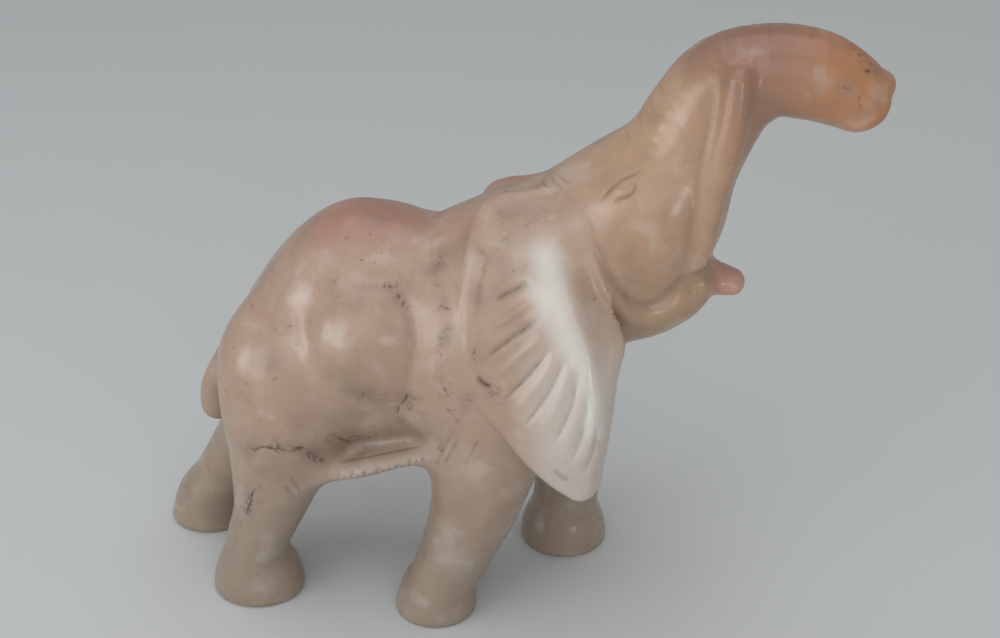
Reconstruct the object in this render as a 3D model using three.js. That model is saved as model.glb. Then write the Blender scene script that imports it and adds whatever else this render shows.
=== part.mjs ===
// A carved stone elephant, walking, with its head up and its trunk curled forward above its brow.
// Millimetres, +Z up. The animal faces +X and its right side is toward -Y.
// The body is one smooth solid, described by a function that is negative inside the stone.
// That function is turned into a closed mesh, which is then thinned to a few thousand facets.

import * as THREE from "three";

// Driving sizes

const HEIGHT = 286;
const EAR_THICKNESS = 9;
const SOLE_LEVEL = 0;
const EAR_SWELLING = 9;
const EAR_HOLLOW_DEPTH = 1.2;
const PLEAT_WIDTH = 3.4;
const PLEAT_DEPTH = 1.4;
const CHEEK_LINE_WIDTH = 3;
const CHEEK_LINE_DEPTH = 2.4;
const LID_LINE_WIDTH = 1.8;
const LID_LINE_DEPTH = 1.2;
const MESH_STEP = 2.6;
const MOST_FACETS = 9600;

// The tables below are drawn for this height, and everything is scaled from it at the end

const DRAWN_HEIGHT = 286;
const SCALE = HEIGHT / DRAWN_HEIGHT;

// Small tools

const clamp = (value, low, high) => Math.min(high, Math.max(low, value));

const fade = (low, high, value) => {
  const t = clamp((value - low) / (high - low), 0, 1);
  return t * t * (3 - 2 * t);
};

// Joins two bodies with a rounded seam of the given width

const join = (a, b, width) => {
  const h = Math.max(width - Math.abs(a - b), 0) / width;
  return Math.min(a, b) - h * h * width * 0.25;
};

const meet = (a, b, width) => -join(-a, -b, width);

// A curve through every row of a table, with each column run through smoothly

function throughRows(rows, perSpan) {
  const last = rows.length - 1;
  const out = [];
  for (let i = 0; i < last; i += 1) {
    const before = rows[Math.max(i - 1, 0)];
    const from = rows[i];
    const to = rows[i + 1];
    const after = rows[Math.min(i + 2, last)];
    for (let j = 0; j < perSpan; j += 1) {
      const t = j / perSpan;
      out.push(from.map((value, k) => {
        const slopeA = (to[k] - before[k]) / 2;
        const slopeB = (after[k] - value) / 2;
        const cubic = 2 * value - 2 * to[k] + slopeA + slopeB;
        const square = -3 * value + 3 * to[k] - 2 * slopeA - slopeB;
        return ((cubic * t + square) * t + slopeA) * t + value;
      }));
    }
  }
  out.push(rows[last]);
  return out;
}

// A tapering limb. Each row is x, y, z, the half size fore and aft, and the half size across

const limbRows = [];

function limb(rows) {
  limbRows.push(...rows);
  const nodes = throughRows(rows, 4);
  return (x, y, z) => {
    let best = 1e9;
    for (let i = 0; i + 1 < nodes.length; i += 1) {
      const p = nodes[i];
      const q = nodes[i + 1];
      const ux = q[0] - p[0];
      const uy = q[1] - p[1];
      const uz = q[2] - p[2];
      const along = (x - p[0]) * ux + (y - p[1]) * uy + (z - p[2]) * uz;
      const t = clamp(along / (ux * ux + uy * uy + uz * uz), 0, 1);
      const vx = x - p[0] - t * ux;
      const vy = y - p[1] - t * uy;
      const vz = z - p[2] - t * uz;
      const fore = p[3] + t * (q[3] - p[3]);
      const wide = p[4] + t * (q[4] - p[4]);
      const k = Math.sqrt((vx * vx + vz * vz) / (fore * fore) + (vy * vy) / (wide * wide));
      const reach = Math.sqrt(vx * vx + vy * vy + vz * vz);
      const d = k > 1e-4 ? reach * (1 - 1 / k) : -Math.min(fore, wide);
      best = Math.min(best, d);
    }
    return best;
  };
}

// An egg shaped mass: its centre, its three half sizes, and its lean forward in degrees

function mass(centre, half, lean = 0) {
  const c = Math.cos(lean * Math.PI / 180);
  const s = Math.sin(lean * Math.PI / 180);
  return (x, y, z) => {
    const dx = x - centre[0];
    const dy = y - centre[1];
    const dz = z - centre[2];
    const a = (c * dx - s * dz) / half[0];
    const b = dy / half[1];
    const h = (s * dx + c * dz) / half[2];
    const k = Math.sqrt(a * a + b * b + h * h);
    const reach = Math.sqrt(dx * dx + dy * dy + dz * dz);
    return k > 1e-4 ? reach * (1 - 1 / k) : -Math.min(half[0], half[1], half[2]);
  };
}

// Distance in the side plane to an open line, and to an outline with its inside counted negative

function lineDistance(line, x, z) {
  let best = 1e9;
  for (let i = 0; i + 1 < line.length; i += 1) {
    const ux = line[i + 1][0] - line[i][0];
    const uz = line[i + 1][1] - line[i][1];
    const dx = x - line[i][0];
    const dz = z - line[i][1];
    const t = clamp((dx * ux + dz * uz) / (ux * ux + uz * uz), 0, 1);
    best = Math.min(best, Math.hypot(dx - t * ux, dz - t * uz));
  }
  return best;
}

function outlineDistance(outline, x, z) {
  let inside = false;
  for (let i = 0, j = outline.length - 1; i < outline.length; j = i, i += 1) {
    const a = outline[i];
    const b = outline[j];
    const crosses = (a[1] > z) !== (b[1] > z);
    if (crosses && x < a[0] + (b[0] - a[0]) * (z - a[1]) / (b[1] - a[1])) inside = !inside;
  }
  const reach = lineDistance([...outline, outline[0]], x, z);
  return inside ? -reach : reach;
}

// A shallow carved line, given as its path in the side plane, its half width and its depth

const carved = (line, halfWidth, depth) => (x, z) => {
  const away = lineDistance(line, x, z) / halfWidth;
  return away > 3 ? 0 : depth * Math.exp(-away * away);
};

// Back, belly and chest in one barrel, from the rump to the base of the neck

const barrel = limb([
  [-41, 0, 118, 35, 32],
  [-31, 0, 126, 42, 35],
  [-20, 0, 135, 60, 40],
  [-4, 0, 136, 57, 42],
  [17, 0, 138, 47.5, 39],
  [45, 0, 151, 49, 35],
  [62, 0, 164, 45, 31],
  [76, 0, 177, 38, 27],
]);

// The croup falls away behind the top of the rump in a nearly straight slope, rounded from side to side

const RUMP_TOP = [-43, 195.7];
const CROUP_SLOPE = 55.7 * Math.PI / 180;
const CROUP_ROUNDING = 0.004;

const croup = (x, y, z) => (
  -Math.sin(CROUP_SLOPE) * (x - RUMP_TOP[0])
  + Math.cos(CROUP_SLOPE) * (z - RUMP_TOP[1])
  + y * y * CROUP_ROUNDING
);

// The masses that stand out on each flank

const flank = mass([-13, -21, 142], [30, 31, 37], 8);
const haunch = mass([-51, -20, 112], [28, 26, 42], -6);
const shoulder = mass([44, -18, 140], [28, 27, 60], 12);

// The ledge along the bottom of the belly

const ledge = limb([
  [-40, -30, 75.5, 5.5, 8],
  [-20, -32, 80, 6.2, 9],
  [0, -32, 87, 6, 9],
  [20, -30, 93.5, 5, 8.5],
]);

// Legs, from the body down to just below the sole, where they are cut flat

const rightForeLeg = limb([
  [52, -27, 140, 29, 22],
  [48, -29, 110, 26, 22],
  [41, -31, 83, 23.5, 21],
  [36, -32, 60, 20, 19.5],
  [28, -32, 36, 17, 17.5],
  [21, -32, 18, 16, 17],
  [18, -32, 7, 18.5, 18],
  [17, -32, -5, 20, 18.5],
]);

const leftForeLeg = limb([
  [62, 27, 140, 27, 22],
  [68, 29, 105, 24, 21],
  [72, 31, 75, 19, 19],
  [74, 31, 50, 16.5, 17],
  [74, 31, 30, 16, 16.5],
  [73, 31, 15, 17.5, 18],
  [73, 31, 6, 21, 20.5],
  [73, 31, -5, 22, 21],
]);

const rightHindLeg = limb([
  [-49, -22, 124, 30, 25],
  [-52, -25, 100, 27.5, 24],
  [-56, -27, 75, 22.5, 21],
  [-62, -27, 50, 17, 18],
  [-69, -27, 30, 15, 16.5],
  [-71, -27, 17, 16.8, 17],
  [-70.5, -27, 6, 21.5, 18.5],
  [-71, -27, -5, 22.5, 19.5],
]);

const leftHindLeg = limb([
  [-48, 20, 120, 27, 23],
  [-59, 23, 98, 24, 21],
  [-74, 25, 72, 19, 18],
  [-88, 26, 48, 16, 16],
  [-101, 26, 25, 15.5, 16],
  [-108, 26, 11, 18.5, 17],
  [-110, 26, -3, 21, 18.5],
]);

const tail = limb([
  [-75, 0, 125, 8, 8],
  [-83, 0, 112, 8, 8],
  [-90, 0, 97, 8.5, 7],
  [-92, 0, 86, 8, 6],
]);

// Head, cheeks, lower jaw, tongue and trunk

const skull = mass([105, 0, 202], [34, 31, 34], 20);

const jaw = limb([
  [92, 0, 178, 17, 21],
  [106, 0, 162.5, 18.5, 24],
  [119.5, 0, 163.5, 15.5, 20],
  [131, 0, 169, 9.5, 15],
  [137, 0, 171, 6, 9.5],
]);

const tongue = limb([
  [124, 0, 172, 7, 9],
  [138, 0, 170, 7.2, 8.5],
  [146.5, 0, 168.5, 5.6, 7.5],
]);

const trunk = limb([
  [105, 0, 190, 30, 28],
  [112.5, 0, 206, 28, 27],
  [120, 0, 223.5, 25.5, 24],
  [128.5, 0, 243, 24, 21],
  [138.5, 0, 258.5, 22.5, 19],
  [155, 0, 266.5, 19.2, 18],
  [172, 0, 265.5, 18.6, 17.5],
  [184.5, 0, 261.5, 17, 16.5],
  [189.5, 0, 258.5, 15.5, 16],
]);

// The finger at the end of the trunk, beyond the groove of the nostrils

const finger = mass([198.5, 4, 262.5], [7.5, 8.5, 7]);

const tusk = limb([
  [130, -19, 184, 5, 5.5],
  [132.3, -20, 195, 5, 6],
  [134.8, -20, 213, 5.2, 6],
  [138.2, -20, 234, 6.5, 6.5],
  [141.2, -19, 252, 6.4, 6.5],
  [142, -18, 268.5, 5.2, 5.2],
]);

// The ear is a curved plate. Its outline and its carving are drawn in the side plane

const EAR = [
  [73, 213], [64, 216], [55, 214], [46, 213], [38, 208], [34, 199], [32, 184], [32, 169], [34, 153],
  [37, 138], [43, 126], [51, 116], [62, 103], [73, 92], [80, 87], [85, 84.5], [91, 86], [95, 92],
  [96.5, 104], [99, 123], [100.5, 142], [103, 156], [99, 170], [92.5, 182], [86, 192], [79.5, 202],
];

const EAR_HOLLOW = [
  [76, 204], [67, 206], [56, 199], [48, 190], [44, 178], [41, 164], [44, 146], [51, 130], [61, 115],
  [74, 104], [86, 98], [93, 104], [95, 130], [94, 150], [88, 168], [84, 186],
];

const EAR_PLEATS = [
  [[61, 182], [47, 174]],
  [[67, 167], [56, 157], [43, 148]],
  [[71, 155], [62, 142], [51, 130]],
  [[78, 152], [71, 134], [61, 117]],
  [[84, 140], [80, 122], [73, 108]],
  [[90, 128], [88, 112], [84, 98]],
].map((line) => carved(throughRows(line, 4), PLEAT_WIDTH, PLEAT_DEPTH));

// The ear leaves the neck at its top and stands further out towards its lower edge

const EAR_TOP = 212;
const EAR_DROP = 125;
const EAR_ROOT = -14;
const EAR_FLARE = 39;
const EAR_ROUNDING = 7;
const EAR_FRONT_ROUNDING = 12;

const earMiddle = (x, z) => {
  const t = clamp((EAR_TOP - z) / EAR_DROP, 0, 1);
  return EAR_ROOT - EAR_FLARE * (1 - (1 - t) ** 2.2) + 0.08 * (x - 60);
};

// Its outer face swells towards the front. The crest of the swelling is given as a height and a place along
// the animal, and the face falls from it to the rear rim and, more steeply, to the front edge

const EAR_CREST = [[200, 68], [180, 77.5], [161, 86], [138, 90], [115, 90.5], [90, 88.5]];
const REAR_RIM = 38;
const FRONT_FALL = 14;

function earCrest(z) {
  const n = EAR_CREST.findIndex((row) => row[0] < z);
  if (n < 0) return EAR_CREST.at(-1)[1];
  if (n === 0) return EAR_CREST[0][1];
  const [[za, xa], [zb, xb]] = [EAR_CREST[n - 1], EAR_CREST[n]];
  return xa + (xb - xa) * (z - za) / (zb - za);
}

function earSwelling(x, z) {
  const crest = earCrest(z);
  const reach = x < crest ? Math.max(crest - REAR_RIM, 24) : FRONT_FALL;
  const tall = fade(212, 180, z) * (0.4 + 0.6 * fade(88, 115, z));
  return EAR_SWELLING * tall * (1 - fade(0, 1, Math.abs(x - crest) / reach));
}

function ear(x, y, z) {
  const edge = outlineDistance(EAR, x, z);
  if (edge > 30) return edge;
  const middle = earMiddle(x, z);
  let face = y - middle;
  if (face < 0) {
    const hollow = outlineDistance(EAR_HOLLOW, x, z);
    const pleats = EAR_PLEATS.reduce((sum, line) => sum + line(x, z), 0);
    const cut = EAR_HOLLOW_DEPTH * fade(3, -5, hollow) + pleats * fade(2, -4, edge);
    face = Math.min(face + earSwelling(x, z) - cut, 0);
  }
  const across = Math.abs(face) * 0.93 - EAR_THICKNESS / SCALE / 2;
  const front = fade(76, 96, x) * fade(152, 174, z);
  return meet(across, edge, EAR_ROUNDING + EAR_FRONT_ROUNDING * front);
}

// Lines carved on the head

const CHEEK_ROLL = [
  [84, 207], [88, 197], [91, 187], [94, 177], [99, 169.5], [107, 165], [116, 167],
  [123, 173],
];
const EYELIDS = [[88, 215], [94, 223], [99, 228], [106, 233], [104, 225], [100, 220], [93, 218], [88, 215]];
const cheekLine = carved(CHEEK_ROLL, CHEEK_LINE_WIDTH, CHEEK_LINE_DEPTH);
const lidLine = carved(EYELIDS, LID_LINE_WIDTH, LID_LINE_DEPTH);

// The whole animal with legs running below the floor. Paired parts are found on both sides by folding
// the left side onto the right

function animal(x, y, z) {
  const right = -Math.abs(y);
  let d = meet(barrel(x, y, z), croup(x, y, z), 22);
  d = join(d, haunch(x, right, z), 12);
  d = join(d, flank(x, right, z), 5);
  d = join(d, shoulder(x, right, z), 10);
  d = join(d, ledge(x, right, z), 4);
  d = join(d, y < 0 ? rightForeLeg(x, y, z) : leftForeLeg(x, y, z), 10);
  d = join(d, y < 0 ? rightHindLeg(x, y, z) : leftHindLeg(x, y, z), 12);
  d = join(d, tail(x, y, z), 5);

  let head = join(skull(x, y, z), join(trunk(x, y, z), finger(x, y, z), 2.5), 10);
  const lines = cheekLine(x, z) + lidLine(x, z);
  head += y * y > 120 ? lines : 0;
  head = join(head, jaw(x, y, z), 10);
  head = join(head, tongue(x, y, z), 1.5);
  head = join(head, tusk(x, right, z), 2.5);

  d = join(d, head, 12);
  const drop = y > 0 ? 7 * fade(150, 206, z) : 0;
  return join(d, ear(x, right, z + drop), 4 + 6 * fade(70, 90, x));
}

// The same with the soles cut flat

const stone = (x, y, z) => Math.max(animal(x, y, z), SOLE_LEVEL - z);

// Turns the function into a closed mesh with one corner in every cell that the surface crosses

function polygonise(field, low, high, step) {
  const size = low.map((value, k) => Math.ceil((high[k] - value) / step) + 1);
  const [nx, ny, nz] = size;
  const at = (i, j, k) => (k * ny + j) * nx + i;
  const values = new Float32Array(nx * ny * nz).fill(NaN);
  const read = (i, j, k) => {
    const n = at(i, j, k);
    if (Number.isNaN(values[n])) {
      values[n] = field(low[0] + i * step, low[1] + j * step, low[2] + k * step);
    }
    return values[n];
  };

  // Blocks of cells far from the surface are filled without working out every point
  const B = 4;
  for (let k = 0; k < nz; k += B) {
    for (let j = 0; j < ny; j += B) {
      for (let i = 0; i < nx; i += B) {
        const centre = field(
          low[0] + (i + B / 2) * step,
          low[1] + (j + B / 2) * step,
          low[2] + (k + B / 2) * step,
        );
        const far = Math.abs(centre) > step * B * 1.7;
        for (let c = k; c < Math.min(k + B, nz); c += 1) {
          for (let b = j; b < Math.min(j + B, ny); b += 1) {
            for (let a = i; a < Math.min(i + B, nx); a += 1) {
              if (far) values[at(a, b, c)] = centre;
              else read(a, b, c);
            }
          }
        }
      }
    }
  }

  // A square of points that is inside at two opposite corners only would pinch the mesh, so it is filled
  const strides = [1, nx, nx * ny];
  for (let left = 1; left > 0;) {
    left = 0;
    for (let n = 0; n + 1 + nx + nx * ny < values.length; n += 1) {
      for (let axis = 0; axis < 3; axis += 1) {
        const u = strides[axis];
        const v = strides[(axis + 1) % 3];
        const [a, b, c, e] = [values[n], values[n + u], values[n + v], values[n + u + v]];
        if ((a < 0) !== (e < 0) || (b < 0) !== (c < 0) || (a < 0) === (b < 0)) continue;
        const outer = a < 0 ? [n + u, n + v] : [n, n + u + v];
        values[values[outer[0]] < values[outer[1]] ? outer[0] : outer[1]] = -0.05 * step;
        left += 1;
      }
    }
  }

  const cellOf = new Int32Array(nx * ny * nz).fill(-1);
  const points = [];
  for (let k = 0; k + 1 < nz; k += 1) {
    for (let j = 0; j + 1 < ny; j += 1) {
      for (let i = 0; i + 1 < nx; i += 1) {
        const corner = [];
        let below = 0;
        for (let n = 0; n < 8; n += 1) {
          const value = values[at(i + (n & 1), j + ((n >> 1) & 1), k + (n >> 2))];
          corner.push(value);
          if (value < 0) below += 1;
        }
        if (below === 0 || below === 8) continue;
        const sum = [0, 0, 0];
        let crossings = 0;
        for (let n = 0; n < 8; n += 1) {
          for (let axis = 0; axis < 3; axis += 1) {
            const m = n | (1 << axis);
            if (m === n || (corner[n] < 0) === (corner[m] < 0)) continue;
            const t = corner[n] / (corner[n] - corner[m]);
            sum[0] += (n & 1) + (axis === 0 ? t : 0);
            sum[1] += ((n >> 1) & 1) + (axis === 1 ? t : 0);
            sum[2] += (n >> 2) + (axis === 2 ? t : 0);
            crossings += 1;
          }
        }
        cellOf[at(i, j, k)] = points.length;
        points.push([
          low[0] + (i + sum[0] / crossings) * step,
          low[1] + (j + sum[1] / crossings) * step,
          low[2] + (k + sum[2] / crossings) * step,
        ]);
      }
    }
  }

  const faces = [];
  const quad = (a, b, c, d, flip) => {
    const gap = (p, q) => Math.hypot(...points[p].map((value, n) => value - points[q][n]));
    const ring = flip ? [a, d, c, b] : [a, b, c, d];
    if (gap(ring[0], ring[2]) < gap(ring[1], ring[3])) {
      faces.push([ring[0], ring[1], ring[2]], [ring[0], ring[2], ring[3]]);
    } else {
      faces.push([ring[1], ring[2], ring[3]], [ring[1], ring[3], ring[0]]);
    }
  };
  for (let k = 1; k + 1 < nz; k += 1) {
    for (let j = 1; j + 1 < ny; j += 1) {
      for (let i = 1; i + 1 < nx; i += 1) {
        const inside = values[at(i, j, k)] < 0;
        const cell = (a, b, c) => cellOf[at(i - a, j - b, k - c)];
        if (inside !== values[at(i + 1, j, k)] < 0) {
          quad(cell(0, 0, 0), cell(0, 1, 0), cell(0, 1, 1), cell(0, 0, 1), !inside);
        }
        if (inside !== values[at(i, j + 1, k)] < 0) {
          quad(cell(0, 0, 0), cell(0, 0, 1), cell(1, 0, 1), cell(1, 0, 0), !inside);
        }
        if (inside !== values[at(i, j, k + 1)] < 0) {
          quad(cell(0, 0, 0), cell(1, 0, 0), cell(1, 1, 0), cell(0, 1, 0), !inside);
        }
      }
    }
  }
  return { points, faces };
}

// Moves every corner onto the surface itself, and those beside a sole onto its rim

function slopeAt(field, p, axes) {
  const h = 0.4;
  return axes.map((k) => {
    const a = [...p];
    const b = [...p];
    a[k] += h;
    b[k] -= h;
    return (field(...a) - field(...b)) / (2 * h);
  });
}

function settle(points) {
  for (const p of points) {
    const onFloor = p[2] < SOLE_LEVEL + 0.5 * MESH_STEP;
    if (onFloor) p[2] = SOLE_LEVEL;
    const d = animal(...p);
    if (onFloor && d < -0.6 * MESH_STEP) continue;
    const slope = slopeAt(animal, p, onFloor ? [0, 1] : [0, 1, 2]);
    const steep = slope.reduce((sum, value) => sum + value * value, 0);
    const move = clamp(d / Math.max(steep, 0.3), -1.4, 1.4);
    slope.forEach((value, k) => { p[k] -= move * value; });
  }
}

// Thins the mesh by folding up the edge that changes the shape least, again and again

function thin(points, faces, most) {
  const alive = faces.map(() => true);
  const around = points.map(() => new Set());
  faces.forEach((face, n) => face.forEach((v) => around[v].add(n)));
  const version = new Int32Array(points.length);
  const forms = points.map(() => new Float64Array(10));

  const normalOf = (a, b, c) => {
    const u = [b[0] - a[0], b[1] - a[1], b[2] - a[2]];
    const v = [c[0] - a[0], c[1] - a[1], c[2] - a[2]];
    return [u[1] * v[2] - u[2] * v[1], u[2] * v[0] - u[0] * v[2], u[0] * v[1] - u[1] * v[0]];
  };
  for (const face of faces) {
    const n = normalOf(...face.map((v) => points[v]));
    const size = Math.hypot(...n) || 1e-9;
    const [a, b, c] = n.map((value) => value / size);
    const p = points[face[0]];
    const d = -(a * p[0] + b * p[1] + c * p[2]);
    const row = [a * a, a * b, a * c, a * d, b * b, b * c, b * d, c * c, c * d, d * d];
    for (const v of face) row.forEach((value, k) => { forms[v][k] += value * size; });
  }
  const costAt = (q, p) => {
    const [x, y, z] = p;
    return q[0] * x * x + 2 * q[1] * x * y + 2 * q[2] * x * z + 2 * q[3] * x
      + q[4] * y * y + 2 * q[5] * y * z + 2 * q[6] * y + q[7] * z * z + 2 * q[8] * z + q[9];
  };
  const best = (u, v) => {
    const q = forms[u].map((value, k) => value + forms[v][k]);
    const middle = [0, 1, 2].map((k) => (points[u][k] + points[v][k]) / 2);
    const choices = [middle, points[u], points[v]];
    const det = q[0] * (q[4] * q[7] - q[5] * q[5]) - q[1] * (q[1] * q[7] - q[5] * q[2])
      + q[2] * (q[1] * q[5] - q[4] * q[2]);
    const scale = q[0] + q[4] + q[7];
    if (det > 1e-5 * scale * scale * scale) {
      const x = -(q[3] * (q[4] * q[7] - q[5] * q[5]) - q[1] * (q[6] * q[7] - q[5] * q[8])
        + q[2] * (q[6] * q[5] - q[4] * q[8])) / det;
      const y = -(q[0] * (q[6] * q[7] - q[8] * q[5]) - q[3] * (q[1] * q[7] - q[5] * q[2])
        + q[2] * (q[1] * q[8] - q[6] * q[2])) / det;
      const z = -(q[0] * (q[4] * q[8] - q[5] * q[6]) - q[1] * (q[1] * q[8] - q[6] * q[2])
        + q[3] * (q[1] * q[5] - q[4] * q[2])) / det;
      const away = Math.hypot(x - middle[0], y - middle[1], z - middle[2]);
      if (away < 6) choices.unshift([x, y, z]);
    }
    let place = choices[0];
    let cost = costAt(q, place);
    for (const choice of choices.slice(1)) {
      const other = costAt(q, choice);
      if (other < cost) {
        cost = other;
        place = choice;
      }
    }
    const span = Math.hypot(...[0, 1, 2].map((k) => points[u][k] - points[v][k]));
    return { cost: Math.max(cost, 0) + 0.004 * span * span * span * span / 10, place };
  };

  // A pile of edges with the cheapest always on top
  const pile = [];
  const push = (item) => {
    let n = pile.length;
    pile.push(item);
    while (n > 0) {
      const up = (n - 1) >> 1;
      if (pile[up].cost <= item.cost) break;
      pile[n] = pile[up];
      n = up;
    }
    pile[n] = item;
  };
  const pop = () => {
    const top = pile[0];
    const item = pile.pop();
    if (pile.length === 0) return top;
    let n = 0;
    for (;;) {
      let down = 2 * n + 1;
      if (down >= pile.length) break;
      if (down + 1 < pile.length && pile[down + 1].cost < pile[down].cost) down += 1;
      if (pile[down].cost >= item.cost) break;
      pile[n] = pile[down];
      n = down;
    }
    pile[n] = item;
    return top;
  };
  const offer = (u, v) => {
    const { cost, place } = best(u, v);
    push({ cost, place, u, v, vu: version[u], vv: version[v] });
  };
  const neighbours = (u) => {
    const set = new Set();
    for (const n of around[u]) for (const v of faces[n]) if (v !== u) set.add(v);
    return set;
  };
  faces.forEach((face) => {
    for (let k = 0; k < 3; k += 1) {
      const u = face[k];
      const v = face[(k + 1) % 3];
      if (u < v) offer(u, v);
    }
  });

  const turnsOver = (u, v, place) => {
    for (const n of around[u]) {
      const face = faces[n];
      if (face.includes(v)) continue;
      const before = normalOf(...face.map((w) => points[w]));
      const after = normalOf(...face.map((w) => (w === u ? place : points[w])));
      const dot = before[0] * after[0] + before[1] * after[1] + before[2] * after[2];
      const sizes = Math.hypot(...before) * Math.hypot(...after);
      if (Math.hypot(...after) < 0.02 || dot < 0.25 * sizes) return true;
    }
    return false;
  };

  let count = faces.length;
  while (count > most && pile.length > 0) {
    const item = pop();
    const { u, v, place } = item;
    if (item.vu !== version[u] || item.vv !== version[v]) continue;
    const nu = neighbours(u);
    const nv = neighbours(v);
    let shared = 0;
    for (const w of nu) if (nv.has(w)) shared += 1;
    if (shared !== 2 || nu.size + nv.size < 8) continue;
    if (turnsOver(u, v, place) || turnsOver(v, u, place)) continue;
    for (const n of [...around[v]]) {
      const face = faces[n];
      if (face.includes(u)) {
        alive[n] = false;
        count -= 1;
        face.forEach((w) => around[w].delete(n));
      } else {
        faces[n] = face.map((w) => (w === v ? u : w));
        around[u].add(n);
        around[v].delete(n);
      }
    }
    forms[u] = forms[u].map((value, k) => value + forms[v][k]);
    points[u] = place;
    version[u] += 1;
    version[v] = -1;
    for (const w of neighbours(u)) offer(u, w);
  }

  const index = new Map();
  const kept = [];
  const out = [];
  faces.forEach((face, n) => {
    if (!alive[n]) return;
    out.push(face.map((v) => {
      if (!index.has(v)) {
        index.set(v, kept.length);
        kept.push(points[v]);
      }
      return index.get(v);
    }));
  });
  return { points: kept, faces: out };
}

// Build the mesh, stand it on the floor and centre it over the origin

const ROOM_ROUND_LIMBS = 9;
const ROOM_BESIDE_EARS = 4;
const rearmost = Math.min(...limbRows.map((row) => row[0] - row[3]));
const foremost = Math.max(...limbRows.map((row) => row[0] + row[3]));
const highest = Math.max(...limbRows.map((row) => row[2] + row[3]));
const earReach = EAR_FLARE - EAR_ROOT + EAR_SWELLING;
const gridLow = [rearmost - ROOM_ROUND_LIMBS, -earReach - ROOM_BESIDE_EARS, -2.5 * MESH_STEP];
const gridHigh = [foremost + ROOM_ROUND_LIMBS, earReach + ROOM_BESIDE_EARS, highest + ROOM_ROUND_LIMBS];
const rough = polygonise(stone, gridLow, gridHigh, MESH_STEP);
settle(rough.points);
settle(rough.points);
const mesh = thin(rough.points, rough.faces, MOST_FACETS);
for (const p of mesh.points) if (p[2] < SOLE_LEVEL + 0.4) p[2] = SOLE_LEVEL;

const lows = [0, 1].map((k) => Math.min(...mesh.points.map((p) => p[k])));
const highs = [0, 1].map((k) => Math.max(...mesh.points.map((p) => p[k])));
const shift = [0, 1].map((k) => (lows[k] + highs[k]) / 2);

const positions = new Float32Array(mesh.points.length * 3);
mesh.points.forEach((p, n) => {
  positions[3 * n] = (p[0] - shift[0]) * SCALE;
  positions[3 * n + 1] = (p[1] - shift[1]) * SCALE;
  positions[3 * n + 2] = p[2] * SCALE;
});

const geometry = new THREE.BufferGeometry();
geometry.setAttribute("position", new THREE.BufferAttribute(positions, 3));
geometry.setIndex(mesh.faces.flat());
geometry.computeVertexNormals();

const polished = new THREE.MeshStandardMaterial({ color: 0xb49a84, roughness: 0.4, metalness: 0 });
const elephant = new THREE.Mesh(geometry, polished);
elephant.name = "elephant";

const part = new THREE.Group();
part.name = "stone_elephant";
part.add(elephant);

export default part;
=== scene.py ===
# The polished stone elephant: its fine surface, its stone, the camera and the studio.
# Lengths in the drawing of the animal are millimetres. Blender's own objects are in metres.

import math

import bpy
import numpy as np
from mathutils import Matrix, Vector


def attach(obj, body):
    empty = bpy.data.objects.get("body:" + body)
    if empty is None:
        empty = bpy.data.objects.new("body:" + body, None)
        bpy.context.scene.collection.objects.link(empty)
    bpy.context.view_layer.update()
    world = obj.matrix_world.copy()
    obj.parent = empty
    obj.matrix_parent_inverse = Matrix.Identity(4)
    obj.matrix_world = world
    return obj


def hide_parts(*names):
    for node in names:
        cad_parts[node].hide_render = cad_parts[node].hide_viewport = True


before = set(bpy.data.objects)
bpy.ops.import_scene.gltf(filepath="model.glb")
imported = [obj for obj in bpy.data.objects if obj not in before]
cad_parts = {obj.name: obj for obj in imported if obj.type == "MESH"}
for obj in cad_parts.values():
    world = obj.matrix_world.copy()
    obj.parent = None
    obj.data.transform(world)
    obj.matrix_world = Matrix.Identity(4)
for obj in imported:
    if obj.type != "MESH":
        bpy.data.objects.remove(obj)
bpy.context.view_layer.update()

MM = 0.001

# Where the drawing's origin lies in the frame, in millimetres

DRAWING_ORIGIN = np.array([-37.71, 0.10, 0.0])

# Sizes of the ears and the soles, in millimetres

EAR_TOP = 212.0
EAR_DROP = 125.0
EAR_ROOT = -14.0
EAR_FLARE = 39.0
EAR_THICKNESS = 9.0
EAR_SWELLING = 9.0
EAR_ROUNDING = 7.0
EAR_FRONT_ROUNDING = 12.0
LEFT_EAR_LOWER = 7.0
EAR_SEAM_AT_REAR = 4.0
EAR_SEAM_AT_FRONT = 14.0
SOLE_ROUNDING = 3.0

# The mesh's fineness in each region, in millimetres, and how many times that an edge may be long

BODY_DETAIL = 2.05
HEAD_DETAIL = 1.45
EAR_DETAIL = 1.0
LINE_DETAIL = 0.6
LONGEST_EDGE = 1.6
LONGEST_EDGE_AT_LINES = 1.5

# The photograph's camera, which looks down on the animal's right side

FRAME_PIXELS = np.array([1000.0, 638.0])
FOCAL_PIXELS = 1590.0
PITCH = math.radians(30.0)
TURN = math.radians(7.0)
FLOOR_PIXEL = np.array([412.0, 560.0])
MM_PER_FLOOR_PIXEL = 0.50

LOOK = np.array([-math.sin(TURN) * math.cos(PITCH), math.cos(TURN) * math.cos(PITCH), -math.sin(PITCH)])
RIGHT = np.array([math.cos(TURN), math.sin(TURN), 0.0])
UP = np.cross(RIGHT, LOOK)


def eye_point():
    """The camera's place in the drawing: the floor pixel is the drawing's origin."""
    across, down = (FLOOR_PIXEL - FRAME_PIXELS / 2) / FOCAL_PIXELS
    ray = LOOK + across * RIGHT - down * UP
    return -MM_PER_FLOOR_PIXEL * FOCAL_PIXELS * ray


EYE = eye_point()


def photo_pixels(points):
    """Where points of the drawing fall in the photograph."""
    away = points - EYE
    depth = away @ LOOK
    across = FRAME_PIXELS[0] / 2 + FOCAL_PIXELS * (away @ RIGHT) / depth
    down = FRAME_PIXELS[1] / 2 - FOCAL_PIXELS * (away @ UP) / depth
    return np.stack([across, down], 1)


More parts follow.
